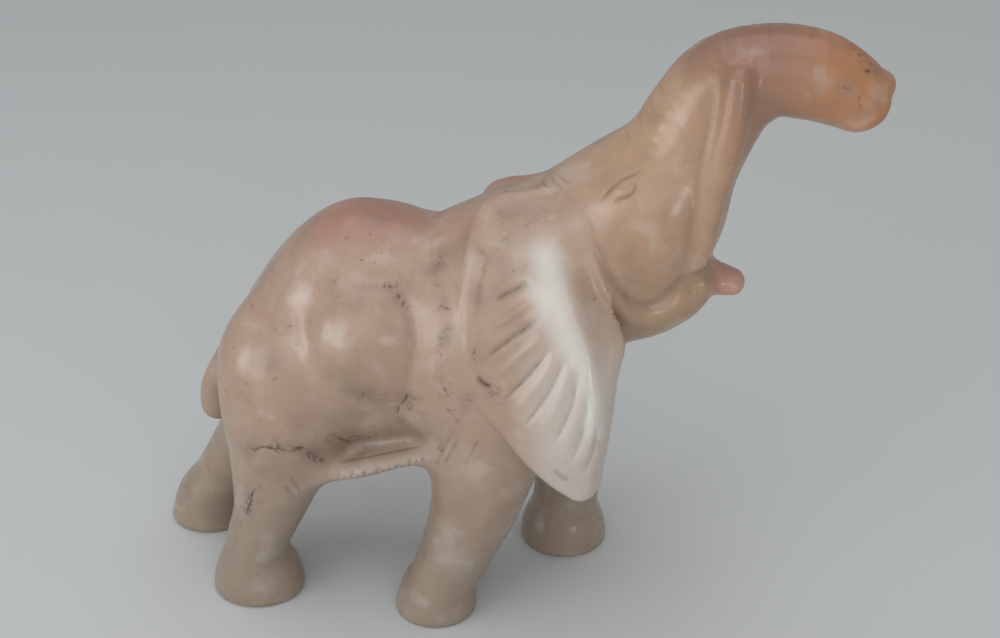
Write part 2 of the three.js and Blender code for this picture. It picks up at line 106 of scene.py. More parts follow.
def add_camera():
    data = bpy.data.cameras.new("photo_camera")
    data.sensor_width = 36.0
    data.lens = FOCAL_PIXELS / FRAME_PIXELS[0] * data.sensor_width
    data.clip_start = 0.01
    data.clip_end = 100.0
    camera = bpy.data.objects.new("photo_camera", data)
    bpy.context.scene.collection.objects.link(camera)
    turn = Matrix((RIGHT, UP, -LOOK)).transposed()
    place = Vector((EYE + DRAWING_ORIGIN) * MM)
    camera.matrix_world = Matrix.Translation(place) @ turn.to_4x4()
    bpy.context.scene.camera = camera


# Small tools for the drawing

def fade(low, high, value):
    """0 at low and 1 at high, smooth in between. Low may be the larger of the two."""
    t = np.clip((value - low) / (high - low), 0.0, 1.0)
    return t * t * (3 - 2 * t)


def join(a, b, width):
    """The distance to either of two shapes, with the corner between them filled over a width."""
    h = np.maximum(width - np.abs(a - b), 0) / width
    return np.minimum(a, b) - h * h * width * 0.25


def meet(a, b, width):
    """The distance to what two shapes share, with the edge between them rounded over a width."""
    return -join(-a, -b, width)


def through_rows(rows, per_span=4):
    """A curve through every row of a table, with each column run through smoothly."""
    rows = np.array(rows, float)
    out = []
    for i in range(len(rows) - 1):
        before, start, end, after = rows[max(i - 1, 0)], rows[i], rows[i + 1], rows[min(i + 2, len(rows) - 1)]
        for t in np.arange(per_span) / per_span:
            slope_a = (end - before) / 2
            slope_b = (after - start) / 2
            cubic = 2 * start - 2 * end + slope_a + slope_b
            square = -3 * start + 3 * end - 2 * slope_a - slope_b
            out.append(((cubic * t + square) * t + slope_a) * t + start)
    out.append(rows[-1])
    return np.array(out)


# How far round a limb its distance is worked out, and what it is taken to be beyond that

REACH = 30.0
FAR = 1000.0

ENDLESS = 1e9
TINY = 1e-4
NEVER_ZERO = 1e-9


def skin_distance(k, reach, half):
    """The distance to an egg's skin, for a point that lies k times as far from its middle as the skin."""
    return np.where(k > TINY, reach * (1 - 1 / np.maximum(k, TINY)), -half)


def limb(rows):
    """A tapering limb. Each row is x, y, z, the half size fore and aft, and the half size across."""
    nodes = through_rows(rows)
    widest = nodes[:, 3:].max()
    low = nodes[:, :3].min(0) - widest - REACH
    high = nodes[:, :3].max(0) + widest + REACH

    def distance(p):
        out = np.full(len(p), FAR)
        near = np.all((p > low) & (p < high), axis=1)
        q = p[near]
        best = np.full(len(q), FAR)
        for start, end in zip(nodes[:-1], nodes[1:]):
            u = end[:3] - start[:3]
            t = np.clip(((q - start[:3]) @ u) / (u @ u), 0, 1)
            v = q - start[:3] - t[:, None] * u
            fore = start[3] + t * (end[3] - start[3])
            wide = start[4] + t * (end[4] - start[4])
            level = v[:, 0] ** 2 + v[:, 2] ** 2
            side = v[:, 1] ** 2
            k = np.sqrt(level / fore ** 2 + side / wide ** 2)
            reach = np.sqrt(level + side)
            best = np.minimum(best, skin_distance(k, reach, fore))
        out[near] = best
        return out
    return distance


def mass(centre, half, lean=0.0):
    """An egg shaped mass: its centre, its three half sizes, and its lean forward in degrees."""
    c, s = math.cos(math.radians(lean)), math.sin(math.radians(lean))

    def distance(p):
        d = p - np.array(centre, float)
        a = (c * d[:, 0] - s * d[:, 2]) / half[0]
        b = d[:, 1] / half[1]
        h = (s * d[:, 0] + c * d[:, 2]) / half[2]
        k = np.sqrt(a * a + b * b + h * h)
        reach = np.linalg.norm(d, axis=1)
        return skin_distance(k, reach, min(half))
    return distance


def line_distance(line, x, z):
    """Distance to a line of straight pieces, in the plane of the drawing."""
    line = np.array(line, float)
    best = np.full(len(x), ENDLESS)
    for a, b in zip(line[:-1], line[1:]):
        u = b - a
        dx, dz = x - a[0], z - a[1]
        t = np.clip((dx * u[0] + dz * u[1]) / (u @ u), 0, 1)
        best = np.minimum(best, np.hypot(dx - t * u[0], dz - t * u[1]))
    return best


def outline_distance(outline, x, z):
    """Distance to a closed outline, negative inside it."""
    inside = np.zeros(len(x), bool)
    closed = list(outline) + [outline[0]]
    for a, b in zip(closed[:-1], closed[1:]):
        if a[1] == b[1]:
            continue
        crosses = (a[1] > z) != (b[1] > z)
        inside ^= crosses & (x < a[0] + (b[0] - a[0]) * (z - a[1]) / (b[1] - a[1]))
    reach = line_distance(closed, x, z)
    return np.where(inside, -reach, reach)


# The body's masses, as in the solid, with a few of them drawn a little closer to the photograph

barrel = limb([
    (-41, 0, 118, 35, 32),
    (-31, 0, 126, 42, 35),
    (-20, 0, 135, 60, 40),
    (-4, 0, 136, 57, 42),
    (17, 0, 138, 47.5, 39),
    (45, 0, 151, 49, 35),
    (62, 0, 164, 45, 31),
    (76, 0, 177, 38, 27),
])

flank = mass((-13, -21, 142), (30, 31, 37), 8)
haunch = mass((-51, -20, 112), (28, 26, 42), -6)
shoulder = mass((44, -18, 140), (28, 27, 60), 12)
ribs = mass((30, -14, 142), (33, 31.5, 42), 10)

ledge = limb([
    (-40, -30, 74.3, 4.3, 8),
    (-20, -32, 78.6, 4.8, 9),
    (0, -32, 85.6, 4.6, 9),
    (20, -30, 92.1, 3.7, 8.5),
])

right_fore_leg = limb([
    (52, -27, 140, 29, 22),
    (48, -29, 110, 26, 22),
    (41, -31, 83, 23.5, 21),
    (36, -32, 60, 20, 19.5),
    (28, -32, 36, 17, 17.5),
    (21, -32, 18, 16, 17),
    (18, -32, 7, 18.5, 18),
    (17, -32, -5, 20, 18.5),
])

left_fore_leg = limb([
    (62, 27, 140, 27, 22),
    (68, 29, 105, 24, 21),
    (72, 31, 75, 19, 19),
    (74, 31, 50, 16.5, 17),
    (74, 31, 30, 16, 16.5),
    (73, 31, 15, 17.5, 18),
    (73, 31, 6, 21, 20.5),
    (73, 31, -5, 22, 21),
])

right_hind_leg = limb([
    (-49, -22, 124, 30, 25),
    (-52, -25, 100, 27.5, 24),
    (-56, -27, 75, 22.5, 21),
    (-62, -27, 50, 17, 18),
    (-69, -27, 30, 15, 16.5),
    (-71, -27, 17, 16.8, 17),
    (-70.5, -27, 6, 21.5, 18.5),
    (-71, -27, -5, 22.5, 19.5),
])

left_hind_leg = limb([
    (-48, 20, 120, 27, 23),
    (-59, 23, 98, 24, 21),
    (-74, 25, 72, 19, 18),
    (-88, 26, 48, 16, 16),
    (-101, 26, 25, 15.5, 16),
    (-108, 26, 11, 18.5, 17),
    (-110, 26, -3, 21, 18.5),
])

tail = limb([
    (-75, 0, 125, 8, 8),
    (-83, 0, 112, 8, 8),
    (-90, 0, 97, 8.5, 7),
    (-92, 0, 86, 8, 6),
])

skull = mass((105, 0, 202), (34, 31, 34), 20)

jaw = limb([
    (92, 0, 178, 17, 21),
    (106, 0, 162.5, 18.5, 24),
    (119.5, 0, 163.5, 15.5, 20),
    (131, 0, 169, 9.5, 15),
    (137, 0, 171, 6, 9.5),
])

tongue = limb([
    (124, 0, 172, 7, 9),
    (138, 0, 170, 7.2, 8.5),
    (146.5, 0, 168.5, 5.6, 7.5),
])

trunk = limb([
    (105, 0, 190, 30, 28),
    (112.5, 0, 206, 28, 27),
    (120, 0, 223.5, 25.5, 24),
    (128.5, 0, 243, 24, 21),
    (138.5, 0, 258.5, 22.5, 19),
    (155, 0, 266.5, 19.2, 18),
    (172, 0, 265.5, 18.6, 17.5),
    (184.5, 0, 260.8, 16.3, 16.5),
    (189.5, 0, 257.8, 14.8, 16),
])

finger = mass((200.6, 4, 261.2), (5.4, 7.5, 5.6))

tusk = limb([
    (131.5, -18, 188, 3.4, 4),
    (132.8, -19.5, 196, 4.4, 5.4),
    (134.8, -20, 213, 5.2, 6),
    (138.2, -20, 234, 6.5, 6.5),
    (141.2, -19, 252, 6.4, 6.5),
    (142, -18, 268.5, 5.2, 5.2),
])

# The right ear's outline, as a place along the animal and a height

EAR = [
    (73, 213), (64, 216), (55, 214), (46, 213), (38, 208), (34, 199), (32, 184), (32, 169), (34, 153),
    (37, 138), (43, 126), (51, 116), (62, 103), (73, 92), (80, 87), (85, 84.5), (91, 86), (95, 92),
    (96.5, 104), (99, 123), (100.5, 142), (103, 156), (99, 170), (92.5, 182), (86, 192), (79.5, 202),
]
EAR_CURVE = [tuple(row) for row in through_rows(EAR + [EAR[0]], 3)[:-1]]

# A sloping cut across the top of the rump, rounded from side to side

RUMP_TOP = (-43, 195.7)
CROUP_SLOPE = math.radians(55.7)
CROUP_ROUNDING = 0.004


def croup(p):
    back = math.sin(CROUP_SLOPE) * (p[:, 0] - RUMP_TOP[0])
    return math.cos(CROUP_SLOPE) * (p[:, 2] - RUMP_TOP[1]) - back + p[:, 1] ** 2 * CROUP_ROUNDING


# The ear: a plate that hangs from its root and flares outwards, with a swelling along a crest

EAR_BEND = 2.2
EAR_TURN = 0.08
EAR_HINGE = 60.0
EAR_SLANT = 0.93
EAR_CREST = [(90, 88.5), (115, 90.5), (138, 90), (161, 86), (180, 77.5), (200, 68)]
REAR_RIM = 38.0
LEAST_REAR_FALL = 24.0
FRONT_FALL = 14.0
EAR_BOX_LOW = (0, -90, 55)
EAR_BOX_HIGH = (135, 12, 245)


def ear_middle(x, z):
    """How far to the side the middle of the plate lies."""
    t = np.clip((EAR_TOP - z) / EAR_DROP, 0, 1)
    return EAR_ROOT - EAR_FLARE * (1 - (1 - t) ** EAR_BEND) + EAR_TURN * (x - EAR_HINGE)


def ear_swelling(x, z):
    """How far the ear's outer face swells, over a crest given as a height and a place along the animal."""
    crest = np.interp(z, *np.array(EAR_CREST).T)
    reach = np.where(x < crest, np.maximum(crest - REAR_RIM, LEAST_REAR_FALL), FRONT_FALL)
    tall = fade(EAR_TOP, 180, z) * (0.4 + 0.6 * fade(88, 115, z))
    return EAR_SWELLING * tall * (1 - fade(0, 1, np.abs(x - crest) / reach))


def ear(p):
    """The right ear. Its front edge is rounder towards the top."""
    out = np.full(len(p), FAR)
    near = np.all((p > EAR_BOX_LOW) & (p < EAR_BOX_HIGH), axis=1)
    x, y, z = p[near].T
    edge = outline_distance(EAR_CURVE, x, z)
    face = y - ear_middle(x, z)
    face = np.where(face < 0, np.minimum(face + ear_swelling(x, z), 0), face)
    across = np.abs(face) * EAR_SLANT - EAR_THICKNESS / 2
    front = fade(76, 96, x) * fade(152, 174, z)
    out[near] = meet(across, edge, EAR_ROUNDING + EAR_FRONT_ROUNDING * front)
    return out


def fold_over(p):
    """Points on the left side moved to the same place on the right."""
    q = p.copy()
    q[:, 1] = -np.abs(q[:, 1])
    return q


def to_right_ear(p):
    """Points moved to where the right ear is drawn. The left ear's top sits a little lower."""
    q = fold_over(p)
    q[:, 2] += np.where(p[:, 1] > 0, LEFT_EAR_LOWER * fade(150, 206, p[:, 2]), 0)
    return q


def animal(p):
    """Every mass joined. The last number of a join is the width over which it is smoothed."""
    q = fold_over(p)
    is_right = p[:, 1] < 0
    d = meet(barrel(p), croup(p), 22)
    d = join(d, haunch(q), 12)
    d = join(d, flank(q), 5)
    d = join(d, join(shoulder(q), ribs(q), 14), 16)
    d = join(d, ledge(q), 8)
    d = join(d, np.where(is_right, right_fore_leg(p), left_fore_leg(p)), 16)
    d = join(d, np.where(is_right, right_hind_leg(p), left_hind_leg(p)), 12)
    d = join(d, tail(p), 5)
    head = join(skull(p), join(trunk(p), finger(p), 2.5), 10)
    head = join(head, jaw(p), 10)
    head = join(head, tongue(p), 1.5)
    head = join(head, tusk(q), 5)
    d = join(d, head, 20)
    seam = EAR_SEAM_AT_REAR + (EAR_SEAM_AT_FRONT - EAR_SEAM_AT_REAR) * fade(58, 82, p[:, 0])
    return join(d, ear(to_right_ear(p)), seam)


def stone(p):
    """The animal cut off level with the floor, its soles rounded at the edge."""
    return meet(animal(p), -p[:, 2], SOLE_ROUNDING)


# The mesh: an even skin from the solid, drawn onto the true surface and divided where detail is carved

def slope_of(field, p, step=0.3):
    """The field's value and its slope, from four samples round each point."""
    corners = np.array([(1, -1, -1), (-1, -1, 1), (-1, 1, -1), (1, 1, 1)], float)
    samples = [field(p + step * corner) for corner in corners]
    slope = sum(sample[:, None] * corner for sample, corner in zip(samples, corners)) / (4 * step)
    return sum(samples) / 4, slope


LONGEST_MOVE = 1.5
LEAST_STEEP = 0.3


def settle(p):
    """Moves each point onto the stone's surface, or as far towards it as one move may go."""
    value, slope = slope_of(stone, p)
    steep = np.maximum((slope ** 2).sum(1), LEAST_STEEP)
    p = p - np.clip(value / steep, -LONGEST_MOVE, LONGEST_MOVE)[:, None] * slope
    p[:, 2] = np.maximum(p[:, 2], 0.0)
    return p


def skin_of(node):
    """An even closed skin over the solid, as points in the drawing and triangles."""
    skin = bpy.data.objects.new("skin", bpy.data.objects[node].data.copy())
    bpy.context.scene.collection.objects.link(skin)
    remesh = skin.modifiers.new("even", "REMESH")
    remesh.mode = "VOXEL"
    remesh.voxel_size = BODY_DETAIL * MM
    bpy.context.view_layer.update()
    mesh = bpy.data.meshes.new_from_object(skin.evaluated_get(bpy.context.evaluated_depsgraph_get()))
    mesh.calc_loop_triangles()
    points = np.empty(len(mesh.vertices) * 3)
    mesh.vertices.foreach_get("co", points)
    triangles = np.empty(len(mesh.loop_triangles) * 3, np.int64)
    mesh.loop_triangles.foreach_get("vertices", triangles)
    bpy.data.objects.remove(skin)
    bpy.data.meshes.remove(mesh)
    return points.reshape(-1, 3) / MM - DRAWING_ORIGIN, triangles.reshape(-1, 3)


def divide(points, triangles, wanted):
    """Halves each edge that is longer than the length wanted at its middle, and divides its triangles."""
    ends = np.sort(np.concatenate([triangles[:, [0, 1]], triangles[:, [1, 2]], triangles[:, [2, 0]]]), axis=1)
    edges, which = np.unique(ends, axis=0, return_inverse=True)
    which = which.reshape(3, -1).T
    middle = points[edges].mean(1)
    length = np.linalg.norm(points[edges[:, 0]] - points[edges[:, 1]], axis=1)
    split = length > wanted(middle)
    new_index = np.full(len(edges), -1)
    new_index[split] = len(points) + np.arange(split.sum())
    points = np.concatenate([points, middle[split]])
    marks = split[which]
    out = [triangles[~marks.any(1)]]

    # A pattern says which of a triangle's edges are halved. Its corners are turned, so that one way of
    # cutting serves every pattern with as many halved edges
    for pattern in range(1, 8):
        bits = np.array([pattern & 1, pattern & 2, pattern & 4]) > 0
        rows = np.all(marks == bits, axis=1)
        if not rows.any():
            continue
        a, b, c = triangles[rows].T
        ab, bc, ca = new_index[which[rows]].T
        turn = {1: 0, 2: 1, 4: 2, 3: 0, 6: 1, 5: 2, 7: 0}[pattern]
        corner = [(a, b, c, ab, bc, ca), (b, c, a, bc, ca, ab), (c, a, b, ca, ab, bc)][turn]
        a, b, c, ab, bc, ca = corner
        if bits.sum() == 1:
            pieces = [(a, ab, c), (ab, b, c)]
        elif bits.sum() == 2:
            pieces = [(ab, b, bc), (a, ab, bc), (a, bc, c)]
        else:
            pieces = [(a, ab, ca), (ab, b, bc), (ca, bc, c), (ab, bc, ca)]
        out.extend(np.stack(piece, 1) for piece in pieces)
    return points, np.concatenate(out)


def normals_of(points, triangles):
    """The way out of the surface at each point."""
    a, b, c = (points[triangles[:, k]] for k in range(3))
    facing = np.cross(b - a, c - a)
    out = np.zeros_like(points)
    for k in range(3):
        for axis in range(3):
            out[:, axis] += np.bincount(triangles[:, k], facing[:, axis], len(points))
    return out / np.maximum(np.linalg.norm(out, axis=1), NEVER_ZERO)[:, None]


# Carving. Its lines are drawn in pixels of the photograph, on the right side, and repeated on the left

def along_line(pixels, line):
    """How far each pixel lies from a line, and how far along it from 0 to 1."""
    nodes = through_rows(line, 4)
    spans = np.linalg.norm(np.diff(nodes, axis=0), axis=1)
    best = np.full(len(pixels), ENDLESS)
    along = np.zeros(len(pixels))
    start = 0.0
    for a, b, span in zip(nodes[:-1], nodes[1:], spans):
        v = pixels - a
        t = np.clip(v @ (b - a) / span ** 2, 0, 1)
        away = np.hypot(*(v - t[:, None] * (b - a)).T)
        along = np.where(away < best, start + t * span, along)
        best = np.minimum(best, away)
        start += span
    return best, along / start


def soft_line(pixels, line, half_width):
    """1 along a line, falling smoothly to 0 beside it. The half width is in pixels."""
    away, _ = along_line(pixels, line)
    return np.exp(-np.minimum(away / half_width, 5.0) ** 2)


def knife_line(pixels, line, half_width, sharpness=1):
    """A cut with a sharp bottom, or a rounded one where sharpness is 2, that runs out at both ends."""
    away, along = along_line(pixels, line)
    run_out = fade(0.0, 0.3, along) * fade(1.0, 0.75, along)
    return np.exp(-np.minimum(away / half_width, 8.0) ** sharpness) * run_out


def round_line(pixels, line, half_width):
    """A cut with a rounded bottom, that runs out at both ends."""
    return knife_line(pixels, line, half_width, 2)


# The ears

EAR_HOLLOW_PIXELS = [
    (560, 215), (540, 217), (520, 226), (500, 241), (486, 261), (479, 284), (475, 320), (480, 352),
    (497, 392), (520, 430), (548, 460), (580, 478), (596, 470), (603, 430), (608, 390), (612, 350),
    (606, 310), (594, 270),
]
EAR_PLEATS = [
    [(530, 279), (512, 291), (492, 301)],
    [(542, 317), (515, 336), (483, 361)],
    [(552, 346), (531, 373), (502, 403)],
    [(568, 352), (548, 394), (520, 432)],
    [(579, 360), (571, 408), (549, 452)],
    [(588, 386), (583, 432), (568, 468)],
    [(598, 424), (594, 452), (582, 478)],
]
EAR_CHIPS = [[(479, 379), (484, 384), (489, 386)], [(556, 472), (561, 477), (567, 480)]]
# The line of the ear's painted sheen, a painted reflection
EAR_SHEEN = [(544, 256), (553, 300), (569, 345), (588, 385), (594, 430)]

# The head and the trunk

EYE_LINES = [
    [(597, 204), (609, 191), (622, 180), (633, 175), (645, 168)],
    [(635, 176), (635, 189), (627, 197), (612, 201)],
]
CHEEK_CREASE = [
    (589, 214), (594, 236), (601, 255), (609, 273), (621, 291), (638, 305), (658, 304), (674, 290),
    (688, 270), (696, 254),
]
JAW_ROLL = [(592, 250), (599, 274), (609, 297), (626, 316), (648, 322), (669, 314), (688, 297), (700, 284)]
LIP_WRINKLES = [[(683, 289), (694, 284), (704, 282)], [(686, 295), (695, 290), (703, 289)]]
# Beside the tusk: a line of painted shade, where the valley between tusk and trunk lies in shade
TUSK_EDGE = [(720, 78), (711, 118), (702, 151), (698, 178), (696, 202), (689, 228), (686, 246)]
LIP_CORNER = [(692, 272), (698, 276), (704, 282)]
FINGER_GROOVE = [(876, 66), (880, 76), (885, 88)]
TIP_RIM = [(889, 102), (886, 113), (878, 121), (866, 126), (854, 128)]
TIP_HOLLOW = [(882, 104), (879, 111), (870, 117), (858, 121)]
CHIPS = [
    [(846, 44), (851, 46), (856, 49)],
    [(868, 58), (871, 62), (873, 66)],
    [(865, 69), (868, 71), (871, 70)],
]

# The body: bold cracks, wrinkles, the strip along the belly, tool marks, and where fine cracks gather

BOLD_CRACKS = [
    [(249, 447), (258, 449), (266, 446), (275, 449), (283, 446)],
    [(284, 446), (293, 445), (301, 449), (309, 448)],
    [(304, 452), (313, 454), (320, 460), (328, 462)],
    [(306, 455), (316, 461), (322, 466)],
    [(333, 437), (345, 440), (353, 441)],
    [(257, 486), (252, 497), (249, 508), (245, 518)],
    [(381, 283), (390, 286), (398, 290)],
    [(396, 290), (401, 298), (404, 310)],
    [(408, 395), (402, 404), (397, 415)],
]
CRACK_JITTER = 1.6
NECK_LINES = [
    [(533, 182), (541, 190), (549, 196)],
    [(538, 178), (546, 186), (554, 193)],
    [(547, 172), (556, 182), (564, 191)],
    [(553, 170), (563, 179), (571, 185)],
    [(532, 188), (537, 192), (543, 195)],
]
DOME_EDGE = [(350, 283), (385, 284), (404, 300), (414, 328), (414, 362), (406, 398)]
# Above the strip: a line of painted shade, under the flank's overhang
BELLY_CREASE = [(336, 450), (360, 443), (390, 438), (425, 433)]
STRIP_TOP = [(330, 463), (360, 457), (400, 449), (430, 443)]
STRIP_BOTTOM = [(332, 482), (360, 479), (400, 470), (430, 460)]
STRIP_NOTCHES = [(334, 477), (360, 474), (400, 465), (430, 455)]
TOOL_MARKS = [
    [(434, 470), (443, 450), (453, 432)],
    [(441, 470), (451, 452), (459, 438)],
    [(464, 468), (472, 452), (479, 438)],
    [(288, 473), (295, 483), (303, 495)],
    [(284, 484), (290, 492), (296, 501)],
]
CRACKED = [
    [(249, 447), (264, 448), (281, 447), (297, 446), (308, 450), (327, 461)],
    [(338, 284), (365, 280), (384, 283), (398, 290), (405, 306), (409, 330)],
    [(332, 438), (352, 442), (375, 430), (398, 422), (411, 400)],
    [(344, 391), (362, 393), (385, 399), (402, 405)],
    [(437, 226), (438, 258), (437, 292)],
    [(442, 300), (446, 330), (441, 362), (447, 398), (442, 428)],
    [(256, 486), (250, 500), (244, 520)],
    [(470, 395), (456, 428), (441, 452)],
    [(468, 238), (478, 262), (474, 300)],
    [(476, 352), (484, 382), (510, 412)],
    [(845, 43), (858, 50), (870, 62), (877, 73)],
    [(836, 84), (850, 92), (862, 104)],
]
CRACKED_WIDTH = 7.0
NOTCH_PITCH = 6.5
STRIP_FRONT = 30.0

# The crest of the trunk, in the drawing's millimetres, and how many nicks cross it

TRUNK_CREST = [(97, 222), (104, 236), (113, 252), (124, 266), (140, 276), (158, 280), (178, 279), (197, 268)]
TRUNK_RINGS = 17


def strokes(lines, draw, half_width, strength):
    """A row for each line: how it is drawn, its half width in pixels, and its strength."""
    return [(line, draw, half_width, strength) for line in lines]


def drawn(pixels, rows):
    """The strength of each row's line at each pixel."""
    return [strength * draw(pixels, line, half_width) for line, draw, half_width, strength in rows]


def folds_between(lines):
    """A line halfway between each line and the next."""
    return [
        [((a[0] + b[0]) / 2, (a[1] + b[1]) / 2) for a, b in zip(line, following)]
        for line, following in zip(lines, lines[1:])
    ]


# How deep each kind of line is cut, in millimetres. Where the number is negative, it stands out

EAR_CUTS = (
    strokes(EAR_PLEATS, round_line, 4.5, 0.45)
    + strokes(EAR_PLEATS, knife_line, 1.1, 0.5)
    + strokes(folds_between(EAR_PLEATS), round_line, 5.0, -0.55)
    + strokes(EAR_CHIPS, soft_line, 2.2, 0.5)
)
HEAD_CUTS = (
    strokes([CHEEK_CREASE], round_line, 5.0, 1.6)
    + strokes([JAW_ROLL], round_line, 7.0, -1.2)
    + strokes([LIP_CORNER], soft_line, 8.0, -1.2)
    + strokes(EYE_LINES, knife_line, 1.5, 0.7)
    + strokes(LIP_WRINKLES, knife_line, 1.6, 0.6)
    + strokes([FINGER_GROOVE], soft_line, 4.0, 0.5)
    + strokes([TIP_RIM], soft_line, 4.0, -1.1)
    + strokes([TIP_HOLLOW], soft_line, 4.0, 0.9)
)
BODY_CUTS = (
    strokes([STRIP_TOP], knife_line, 1.6, 0.8)
    + strokes([DOME_EDGE], soft_line, 7.0, 1.2)
    + strokes(TOOL_MARKS + NECK_LINES, knife_line, 1.2, 0.4)
)
EYEBALL = (622, 189)
EYEBALL_REACH = (12, 7)
EYEBALL_HEIGHT = 0.5
NOTCH_DEPTH = 0.45
RING_DEPTH = 0.18
CRACK_DEPTH = 0.3

# How dark each kind of line is made, full at 1: dirt in most cuts, painted shade beside the tusk and along
# the belly's crease, and a darker cheek crease

EAR_DIRT = strokes(EAR_PLEATS, knife_line, 1.1, 1.2) + strokes(EAR_CHIPS, soft_line, 2.2, 1.2)
HEAD_DIRT_AND_SHADE = (
    # Darker along the cheek's crease
    strokes([CHEEK_CREASE], round_line, 3.0, 0.35)
    # Painted shade beside the tusk
    + strokes([TUSK_EDGE], soft_line, 4.5, 0.22)
    + strokes(EYE_LINES, knife_line, 1.5, 0.8)
)
BODY_DIRT_AND_SHADE = (
    strokes([STRIP_TOP], knife_line, 1.6, 0.5)
    # Painted shade along the belly's crease, above the strip
    + strokes([BELLY_CREASE], soft_line, 7.0, 0.35)
    + strokes(TOOL_MARKS + NECK_LINES, knife_line, 1.2, 0.6)
)
NOTCH_DIRT = 0.8
RING_DIRT = 0.25
CRACK_DIRT = 1.6

# Half widths of the cracks, the chips and the ear's painted sheen, in pixels

BOLD_CRACK_WIDTH = 1.0
CHIP_WIDTH = 1.6
SHEEN_WIDTH = 20.0


def ear_face(p):
    """1 on the outer face of either ear, and 0 elsewhere."""
    q = to_right_ear(p)
    x, y, z = q.T
    edge = outline_distance(EAR_CURVE, x, z)
    outer = fade(-1.0, 2.0, ear_middle(x, z) - y) * fade(4.0, 0.0, edge)
    return outer * fade(3.0, 1.0, ear(q))


def trunk_rings(p):
    """Shallow nicks across the crest of the trunk, at an even pitch."""
    away, along = along_line(p[:, [0, 2]], TRUNK_CREST)
    crest = fade(9.0, 4.0, away) * fade(12.0, 6.0, np.abs(p[:, 1]))
    crest *= fade(0.0, 0.1, along) * fade(1.0, 0.9, along)
    return fade(0.8, 1.0, np.cos(2 * math.pi * TRUNK_RINGS * along)) * crest


def strip_notches(pixels):
    """Small nicks along the lower edge of the belly's strip."""
    away, along = along_line(pixels, STRIP_NOTCHES)
    notches = fade(0.4, 1.0, np.cos(2 * math.pi * pixels[:, 0] / NOTCH_PITCH)) * fade(5.0, 2.0, away)
    return notches * fade(0.0, 0.1, along) * fade(1.0, 0.9, along)


def jittered(pixels):
    """Pixels moved a little by a few waves, so that a line drawn through them wanders like a crack."""
    x, y = pixels.T
    sideways = np.sin(0.5 * y + 0.2 * x) + 0.4 * np.sin(1.7 * y - 0.8 * x)
    downwards = np.sin(0.45 * x - 0.3 * y) + 0.4 * np.sin(1.5 * x + 0.7 * y)
    return pixels + CRACK_JITTER * np.stack([sideways, downwards], 1) / 1.4


def dashes(pixels):
    """Breaks a crack into short lengths."""
    x, y = pixels.T
    return fade(-0.7, -0.2, np.sin(0.4 * x + 0.33 * y + 3.0 * np.sin(0.21 * x - 0.13 * y)))


def carve_ear(pixels):
    """The depth and the dirt on an ear. The step inside its rim is deepest at the top and the rear."""
    hollow = outline_distance(EAR_HOLLOW_PIXELS, pixels[:, 0], pixels[:, 1])
    rim = fade(350.0, 280.0, pixels[:, 1]) * fade(580.0, 520.0, pixels[:, 0])
    depth = fade(2.5, -4.0, hollow) * (0.3 + rim) + fade(-4.0, -30.0, hollow) * 0.8 * rim
    return depth + sum(drawn(pixels, EAR_CUTS)), np.max(drawn(pixels, EAR_DIRT), axis=0)


def carve_head(pixels):
    """The depth, and the dirt and painted shade, on the head and the trunk. The eyeball stands out between
    its lids.
    """
    eyeball = np.linalg.norm((pixels - EYEBALL) / np.array(EYEBALL_REACH), axis=1)
    depth = sum(drawn(pixels, HEAD_CUTS)) - EYEBALL_HEIGHT * np.exp(-eyeball ** 2)
    return depth, np.max(drawn(pixels, HEAD_DIRT_AND_SHADE), axis=0)


def carve_body(pixels):
    """The depth, and the dirt and painted shade, on the body and the legs."""
    notches = strip_notches(pixels)
    depth = NOTCH_DEPTH * notches + sum(drawn(pixels, BODY_CUTS))
    return depth, np.max([NOTCH_DIRT * notches, *drawn(pixels, BODY_DIRT_AND_SHADE)], axis=0)


def carve(p):
    """At each point: the depth cut in millimetres, the dirt and painted shade, the cracks, the belly's strip,
    and the ear's painted sheen and paler lower front.

    On the body and the head the carving fades out along the middle, where its two sides meet."""
    pixels = photo_pixels(fold_over(p))
    on_ear = ear_face(p)
    beside = fade(-2.0, -9.0, fold_over(p)[:, 1])
    on_head = (1 - on_ear) * fade(78, 86, p[:, 0]) * fade(140, 150, p[:, 2]) * beside
    on_body = (1 - on_ear) * (1 - on_head) * beside

    ear_depth, ear_dirt = carve_ear(photo_pixels(to_right_ear(p)))
    head_depth, head_dirt_and_shade = carve_head(pixels)
    body_depth, body_dirt_and_shade = carve_body(pixels)
    rings = trunk_rings(p)
    bold = np.max(drawn(jittered(pixels), strokes(BOLD_CRACKS, knife_line, BOLD_CRACK_WIDTH, 1)), axis=0)
    chips = np.max(drawn(pixels, strokes(CHIPS, knife_line, CHIP_WIDTH, 1)), axis=0)
    broken = beside * np.maximum(dashes(pixels) * bold, chips)

    depth = on_ear * ear_depth + on_head * head_depth + on_body * body_depth
    depth += RING_DEPTH * rings + CRACK_DEPTH * broken
    dirt_and_shade = np.maximum.reduce([
        on_ear * ear_dirt, on_head * head_dirt_and_shade, on_body * body_dirt_and_shade, RING_DIRT * rings, CRACK_DIRT * broken,
    ])
    cracked = np.max(drawn(pixels, strokes(CRACKED, soft_line, CRACKED_WIDTH, 1)), axis=0)
    strip = fade(4.0, -4.0, outline_distance(STRIP_TOP + STRIP_BOTTOM[::-1], *pixels.T))
    strip *= beside * (p[:, 0] < STRIP_FRONT)
    # The ear's painted sheen, a painted reflection along its line, and the ear painted paler towards its
    # lower front
    lower_front = fade(290, 390, pixels[:, 1]) * fade(500, 560, pixels[:, 0])
    painted_sheen_and_pale_front = on_ear * np.maximum(soft_line(pixels, EAR_SHEEN, SHEEN_WIDTH), 0.6 * lower_front)
    return depth, dirt_and_shade, cracked, strip, painted_sheen_and_pale_front


# How often the mesh is settled and divided, and where it is finer: on the head, on the ears, and within
# a few pixels of a fine line, but not along the middle of the animal

